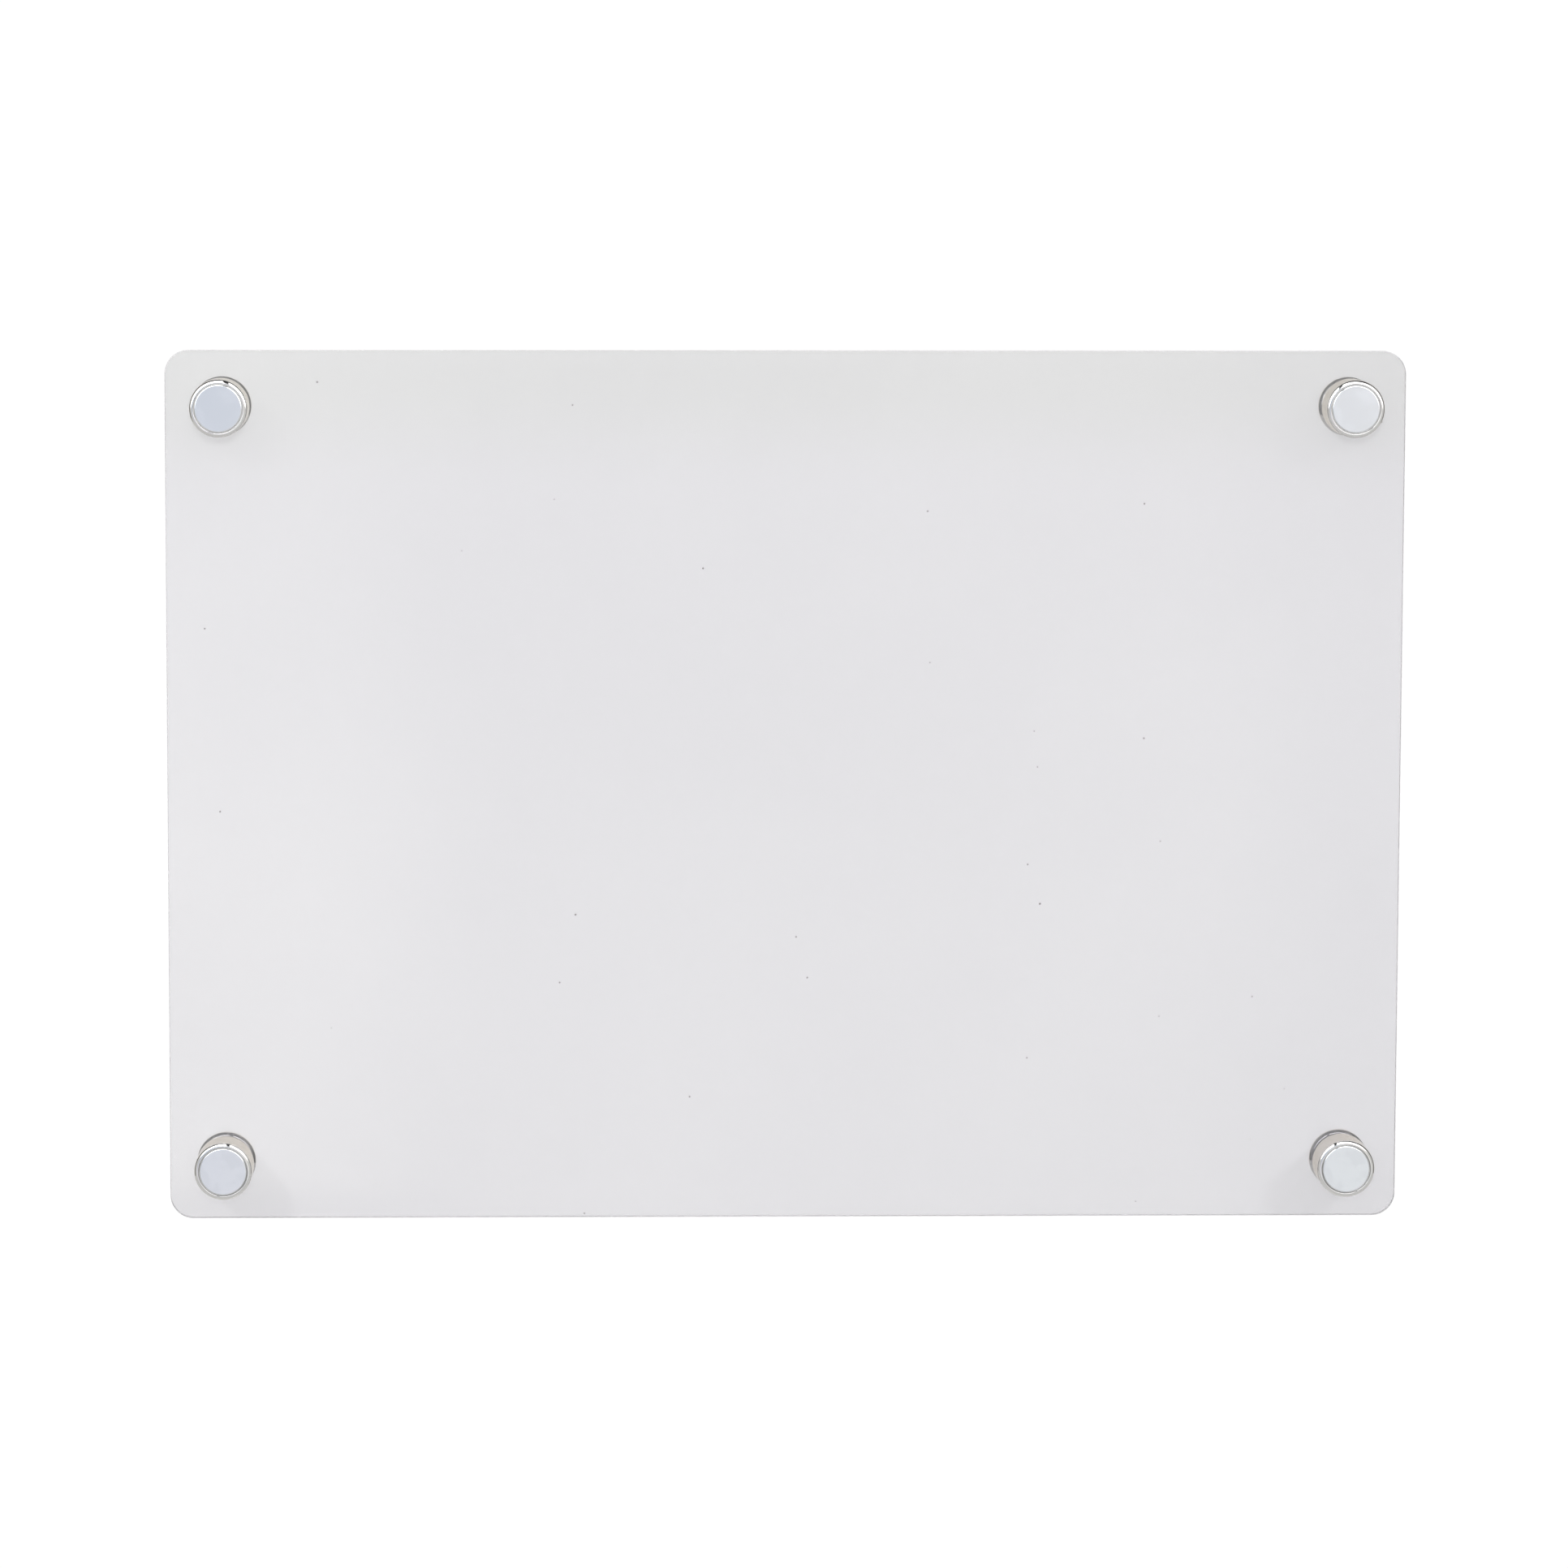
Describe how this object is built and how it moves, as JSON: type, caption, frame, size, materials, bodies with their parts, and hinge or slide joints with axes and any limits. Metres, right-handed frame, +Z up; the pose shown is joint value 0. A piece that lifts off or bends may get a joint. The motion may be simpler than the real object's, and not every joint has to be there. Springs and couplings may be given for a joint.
{
  "type": "acrylic magnetic board",
  "caption": "Clear acrylic writing board with rounded corners, held off a steel surface by chromed standoffs with disc magnets and screw caps.",
  "frame": {"origin": "centre of the whole board's bounding box", "axes": "+X along the width, to the right as seen from the magnet side; +Y from the magnets through the sheet to the writing side; +Z up"},
  "size_m": [0.42, 0.0228, 0.297],
  "materials": {
    "clear_acrylic": "polished",
    "chromed_brass": "polished",
    "nickel_plate": "satin",
    "clear_washer": "gloss",
    "zinc_plated_steel": "satin"
  },
  "bodies": {
    "board": {"board_sheet": "clear_acrylic", "magnet_cup_top_left": "chromed_brass", "magnet_cup_top_right": "chromed_brass", "magnet_cup_bottom_left": "chromed_brass", "magnet_cup_bottom_right": "chromed_brass", "magnet_disc_top_left": "nickel_plate", "magnet_disc_top_right": "nickel_plate", "magnet_disc_bottom_left": "nickel_plate", "magnet_disc_bottom_right": "nickel_plate", "cup_washer_top_left": "clear_washer", "cup_washer_top_right": "clear_washer", "cup_washer_bottom_left": "clear_washer", "cup_washer_bottom_right": "clear_washer"},
    "washer_top_left": {"cap_washer_top_left": "clear_washer"},
    "washer_top_right": {"cap_washer_top_right": "clear_washer"},
    "washer_bottom_left": {"cap_washer_bottom_left": "clear_washer"},
    "washer_bottom_right": {"cap_washer_bottom_right": "clear_washer"},
    "cap_top_left": {"screw_cap_top_left": "chromed_brass", "threaded_stud_top_left": "zinc_plated_steel"},
    "cap_top_right": {"screw_cap_top_right": "chromed_brass", "threaded_stud_top_right": "zinc_plated_steel"},
    "cap_bottom_left": {"screw_cap_bottom_left": "chromed_brass", "threaded_stud_bottom_left": "zinc_plated_steel"},
    "cap_bottom_right": {"screw_cap_bottom_right": "chromed_brass", "threaded_stud_bottom_right": "zinc_plated_steel"}
  },
  "joints": [
    {"name": "cap_travel_top_left", "type": "slide", "parent": "board", "child": "washer_top_left", "axis": [0, 1, 0], "range_m": [0, 0.008]},
    {"name": "cap_turn_top_left", "type": "hinge", "parent": "washer_top_left", "child": "cap_top_left", "pos_m": [-0.191, 0.00515, 0.1295], "axis": [0, 1, 0], "range_deg": [0, 2880]},
    {"name": "cap_travel_top_right", "type": "slide", "parent": "board", "child": "washer_top_right", "axis": [0, 1, 0], "range_m": [0, 0.008]},
    {"name": "cap_turn_top_right", "type": "hinge", "parent": "washer_top_right", "child": "cap_top_right", "pos_m": [0.191, 0.00515, 0.1295], "axis": [0, 1, 0], "range_deg": [0, 2880]},
    {"name": "cap_travel_bottom_left", "type": "slide", "parent": "board", "child": "washer_bottom_left", "axis": [0, 1, 0], "range_m": [0, 0.008]},
    {"name": "cap_turn_bottom_left", "type": "hinge", "parent": "washer_bottom_left", "child": "cap_bottom_left", "pos_m": [-0.191, 0.00515, -0.1295], "axis": [0, 1, 0], "range_deg": [0, 2880]},
    {"name": "cap_travel_bottom_right", "type": "slide", "parent": "board", "child": "washer_bottom_right", "axis": [0, 1, 0], "range_m": [0, 0.008]},
    {"name": "cap_turn_bottom_right", "type": "hinge", "parent": "washer_bottom_right", "child": "cap_bottom_right", "pos_m": [0.191, 0.00515, -0.1295], "axis": [0, 1, 0], "range_deg": [0, 2880]}
  ],
  "couplings": [
    {"joint": "cap_travel_top_left", "follows": "cap_turn_top_left", "m_per_rad": 0.00015915},
    {"joint": "cap_travel_top_right", "follows": "cap_turn_top_right", "m_per_rad": 0.00015915},
    {"joint": "cap_travel_bottom_left", "follows": "cap_turn_bottom_left", "m_per_rad": 0.00015915},
    {"joint": "cap_travel_bottom_right", "follows": "cap_turn_bottom_right", "m_per_rad": 0.00015915}
  ]
}
